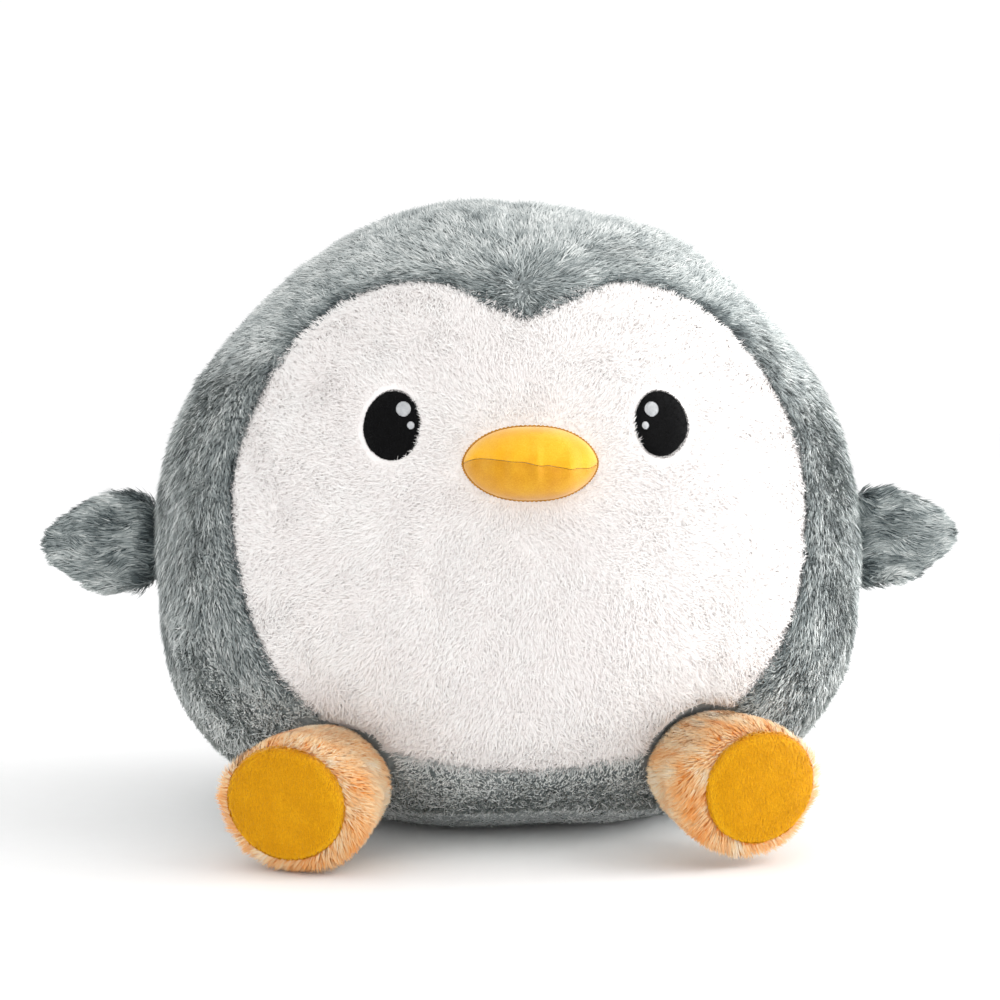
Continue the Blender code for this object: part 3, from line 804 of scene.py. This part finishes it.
GOLD_VELOUR = fabric_material("gold_velour_cloth", ("cf900e", "e0a215", "edb424"), 0.0008, 0.01, 0.0003)
YELLOW_VELOUR = fabric_material(
    "yellow_velour_cloth", ("e39f12", "edaf1e", "f6be32"), 0.0006, 0.012, 0.0003, roughness=0.8)
# The same yellow velour made darker: painted shade for the beak's lower half, which faces down.
YELLOW_VELOUR_PAINTED_SHADE = fabric_material(
    "yellow_velour_painted_shade_cloth", ("c4850f", "d2951b", "dea728"), 0.0006, 0.012, 0.0003, roughness=0.8)
BLACK_VELVET = fabric_material("black_velvet_cloth", ("050506", "0b0b0d", "141416"), 0.0006, 0.006, 0.0002)
PALE_THREAD = fabric_material(
    "pale_thread_cloth", ("a4a7aa", "b8babc", "cbcdce"), 0.0003, 0.002, 0.0001, roughness=0.5, sheen=0.4)
# Beak's edge thread: real stitches, and its brown is also painted shade and painted reflection where the
# beak tucks into the fur.
SEAM_THREAD_AND_SHADE = fabric_material("seam_thread_and_shade_cloth", ("9c6a1c", "b27c24", "c28d30"), 0.0003, 0.002, 0.0001)


# ---------------------------------------------------------------- face

def make_beak():
    """Two puffed velour halves that meet in a puckered seam; the lower half has darker velour, painted
    shade for the half that faces down.
    """
    half = BEAK_HALF
    tip_y = BEAK_LOW.y
    across_steps, up_steps = 96, 26
    wrinkle, soft = patches(141, 0.0035), patches(142, 0.012)
    mouth = BEAK_LOW.z + half.z
    # The lower half takes the darker copy of the velour: painted shade.
    for name, sign, velour in (("upper", 1, YELLOW_VELOUR), ("lower", -1, YELLOW_VELOUR_PAINTED_SHADE)):
        points = []
        for i in range(across_steps + 1):
            share = -math.cos(math.pi * i / across_steps) * BEAK_ENDS
            seam = -0.0038 * share * (1 - share ** 6)
            height = half.z * beak_profile(share) - sign * seam
            reach = 0.021 * beak_profile(share)
            face_y = tip_y + 0.022 + 0.0028 * share * share
            for j in range(up_steps + 1):
                turn = math.pi / 2 * j / up_steps
                plump = 1 + 0.05 * math.sin(2 * turn)
                pinch = math.exp(-(turn / 0.16) ** 2)
                y = face_y - reach * math.cos(turn) * plump + 0.0012 * pinch
                z = mouth + seam + sign * (height * math.sin(turn) * plump + 0.0001)
                points.append((half.x * share, y, z))
            points.append((half.x * share * 0.97, face_y + 0.006, mouth + seam + sign * height * 0.96))
        points = np.array(points)
        rows = up_steps + 2
        turn = np.tile(np.append(np.linspace(0, math.pi / 2, up_steps + 1), math.pi / 2), across_steps + 1)
        ends = 1 - (points[:, 0] / half.x) ** 8
        pucker = wrinkle(points * (1, 0.3, 0.12)) * np.exp(-(turn / 0.5) ** 2) * 0.0009
        pucker += soft(points) * 0.0006 * np.sin(2 * turn)
        points[:, 1] += pucker * ends
        points[:, 2] += wrinkle(points * (0.8, 0, 0) + 0.5) * 0.00035 * np.exp(-(turn / 0.12) ** 2) * ends
        faces = []
        for i in range(across_steps):
            for j in range(rows - 1):
                a, b = i * rows + j, (i + 1) * rows + j
                faces.append((a, b, b + 1, a + 1) if sign > 0 else (a, a + 1, b + 1, b))
        piece = new_object(f"beak_velour_{name}", points, faces, [velour])
        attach(piece, "body")
        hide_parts(f"beak_{name}")
    make_beak_stitching(mouth, tip_y)
    filling = remeshed("beak_fill", "beak_stuffing", 0.0015, [FIBREFILL])
    finish_filling(filling, "body", "beak_stuffing", gap=0.001)


def make_beak_stitching(mouth, tip_y):
    """A thread sewn round the beak where it meets the fur, swelling at each stitch. Its brown is partly the
    thread and partly painted shade and painted reflection of the beak's orange where the beak tucks into
    the fur.
    """
    half, steps, section, stitches = BEAK_HALF, 480, 8, 96
    points, faces = [], []
    for i in range(steps):
        turn = 2 * math.pi * i / steps
        share, side = math.cos(turn) * BEAK_ENDS, math.copysign(1, math.sin(turn))
        height = half.z * beak_profile(share)
        middle = np.array((half.x * share, tip_y + 0.0222 + 0.0028 * share * share, mouth + side * height))
        outward = unit(np.array((share / half.x, 0, side * height / half.z ** 2)))
        thick = 0.0006 * (1 + 0.3 * math.sin(stitches * turn))
        for k in range(section):
            angle = 2 * math.pi * k / section
            rise = 0.0003 + thick * math.cos(angle)
            points.append(middle + outward * rise + (0, thick * math.sin(angle), 0))
    for i in range(steps):
        for k in range(section):
            a, b = i * section, (i + 1) % steps * section
            after = (k + 1) % section
            faces.append((a + k, a + after, b + after, b + k))
    thread = new_object("beak_stitching_and_shade", points, faces, [SEAM_THREAD_AND_SHADE])
    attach(thread, "body")


def make_eye(side):
    """A velvet patch on the face, with its nap and two embroidered dots."""
    outline = EYES[side]
    points = node_points(f"eye_{side}")
    flat = np.column_stack((points[:, (0, 2)], np.ones(len(points))))
    plane = np.linalg.lstsq(flat, points[:, 1], rcond=None)[0]

    def face_y(x, z):
        return plane[0] * x + plane[1] * z + plane[2]

    rings, around = 16, 72
    middle = outline.middle
    rows = [(middle[0], face_y(*middle) - 0.0018, middle[1])]
    for i in range(1, rings + 1):
        share = i / rings
        for j in range(around):
            turn = 2 * math.pi * j / around
            reach = np.interp(turn, outline.turn, outline.reach, period=2 * math.pi) * share * 0.98
            x, z = middle[0] + reach * math.cos(turn), middle[1] + reach * math.sin(turn)
            rows.append((x, face_y(x, z) - 0.0018 * (1 - share ** 4) + 0.0006 * share ** 8, z))
    faces = [(face[0], *face[:0:-1]) for face in disc_faces(rings, around)]
    patch = new_object(f"eye_velvet_{side}", rows, faces, [BLACK_VELVET])
    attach(patch, "body")
    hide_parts(f"eye_{side}")

    def keep(points):
        clear = np.ones(len(points), bool)
        for size in ("large", "small"):
            low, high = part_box(f"eye_highlight_{size}_{side}")
            dot, radius = (low + high) / 2, (high.x - low.x) / 2
            clear &= np.hypot(points[:, 0] - dot.x, points[:, 2] - dot.z) > radius
        return clear

    roots, out = sown(patch, EYE_DENSITY, 151, keep)
    rng = np.random.default_rng(152)
    rim = np.exp(-np.maximum(outline.distance(roots), 0) / 0.0012)
    away = (roots - (middle[0], 0, middle[1])) * (1, 0, 1) / 0.012
    lie = -UP * (1 - rim[:, None]) + away * rim[:, None] * 2 + rng.normal(0, 0.5, roots.shape)
    strands(
        f"eye_nap_{side}", roots, out, lie, 0.0011 + 0.0014 * rim, 0.5 - 0.15 * rim, 0.00032,
        rng.random(len(roots)) ** 2, BLACK, 153, "body", tuft=(20, 0.3))
    for size in ("large", "small"):
        make_dot(side, size, face_y)


def make_dot(side, size, face_y):
    """Satin stitch: level threads side by side over a round dot."""
    low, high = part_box(f"eye_highlight_{size}_{side}")
    dot, radius = (low + high) / 2, (high.x - low.x) / 2
    pitch = 0.00042
    count = int(2 * radius / pitch)
    points, faces = [], []
    stations, section = 9, 5
    for i in range(count):
        z = dot.z - radius + (i + 0.5) * 2 * radius / count
        reach = math.sqrt(max(radius ** 2 - (z - dot.z) ** 2, 1e-8))
        for k in range(stations):
            share = -1 + 2 * k / (stations - 1)
            x = dot.x + reach * share
            lift = 0.0006 * math.sqrt(max(0, 1 - share ** 2))
            for m in range(section):
                turn = math.pi * m / (section - 1)
                y = face_y(x, z) - 0.0017 - lift - 0.00025 * math.sin(turn)
                points.append((x, y, z - pitch * 0.6 * math.cos(turn)))
        start = i * stations * section
        for k in range(stations - 1):
            for m in range(section - 1):
                a = start + k * section + m
                faces.append((a, a + section, a + section + 1, a + 1))
    thread = new_object(f"eye_dot_{size}_{side}", points, faces, [PALE_THREAD])
    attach(thread, "body")
    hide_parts(f"eye_highlight_{size}_{side}")


# ---------------------------------------------------------------- studio

def make_studio():
    paper = fabric_material("floor_paper", ("fdfdfd", "ffffff"), 0.01, 0.5, 0.0001, sheen=0)
    corners = [(-30, -30, 0), (30, -30, 0), (30, 30, 0), (-30, 30, 0)]
    floor = new_object("floor", corners, [(0, 1, 2, 3)], [paper])
    world = bpy.data.worlds.new("studio")
    world.use_nodes = True
    background = world.node_tree.nodes["Background"]
    background.inputs["Color"].default_value = (1, 1, 1, 1)
    background.inputs["Strength"].default_value = 1.03
    bpy.context.scene.world = world
    lamps = {
        "key": ((1.9, -0.7, 1.6), 1.5, 17),
        "side": ((2.4, 0.3, 0.4), 1.2, 50),
        "front": ((-0.8, -2.1, 0.2), 1.4, 8),
    }
    for name, (place, size, power) in lamps.items():
        light = bpy.data.lights.new(name, "AREA")
        light.size = size
        light.energy = power
        lamp = bpy.data.objects.new(name, light)
        lamp.location = place
        lamp.rotation_euler = (VIEW_TARGET - Vector(place)).to_track_quat("-Z", "Y").to_euler()
        bpy.context.scene.collection.objects.link(lamp)
    bpy.context.scene.view_settings.view_transform = "Standard"


def make_camera():
    azimuth, elevation = math.radians(VIEW_AZIMUTH), math.radians(VIEW_ELEVATION)
    back = Vector((
        math.sin(azimuth) * math.cos(elevation),
        -math.cos(azimuth) * math.cos(elevation),
        math.sin(elevation),
    ))
    data = bpy.data.cameras.new("camera")
    data.sensor_width = 36
    data.lens = LENS
    data.shift_x, data.shift_y = SHIFT
    camera = bpy.data.objects.new("camera", data)
    camera.location = VIEW_TARGET + back * VIEW_DISTANCE
    camera.rotation_euler = back.to_track_quat("Z", "Y").to_euler()
    bpy.context.scene.collection.objects.link(camera)
    bpy.context.scene.camera = camera


def main():
    make_camera()
    make_studio()
    skin = make_body_skin()
    make_backings(skin)
    make_grey_fur(skin)
    make_white_fur(skin)
    finish_filling(skin, "body", "body_stuffing")
    make_beak()
    for side in SIDES:
        make_eye(side)
        make_wing(side)
        make_foot(side)


main()
